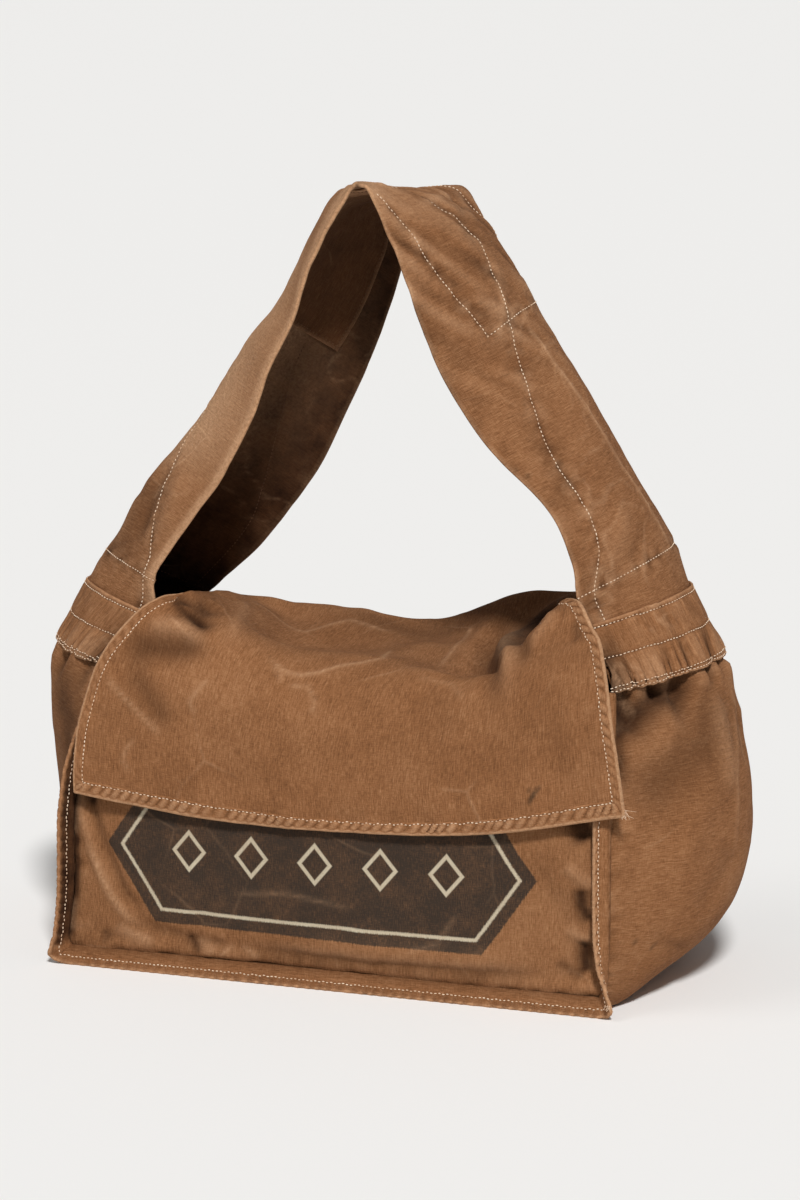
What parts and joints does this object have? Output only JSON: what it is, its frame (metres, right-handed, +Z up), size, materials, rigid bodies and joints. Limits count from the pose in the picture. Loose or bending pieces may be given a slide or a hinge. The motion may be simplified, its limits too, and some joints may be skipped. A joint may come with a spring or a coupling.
{
  "type": "newspaper delivery bag",
  "caption": "Wide canvas shoulder bag with a front flap, bulging side gussets, turned seam edges and one broad cloth strap that stands up in an arch.",
  "frame": {"origin": "on the floor under the middle of the flat base, halfway between the front and back seams", "axes": "+Z up, the flap and the printed front panel look along -Y, +X to the viewer's right seen from the front"},
  "size_m": [0.5884, 0.2651, 0.6371],
  "materials": {
    "canvas_body": "worn tan cotton duck",
    "canvas_front": "worn tan cotton duck with a faded dark print",
    "canvas_edge": "doubled tan cotton duck, stitched",
    "canvas_strap": "worn tan cotton duck, two layers"
  },
  "bodies": {
    "root": {"gusset_strip": "canvas_body", "front_panel": "canvas_front", "back_panel_flap": "canvas_body", "front_seam": "canvas_edge", "back_seam": "canvas_edge", "strap": "canvas_strap", "shoulder_patch": "canvas_strap", "strap_band_left": "canvas_edge", "strap_band_right": "canvas_edge"}
  },
  "joints": []
}
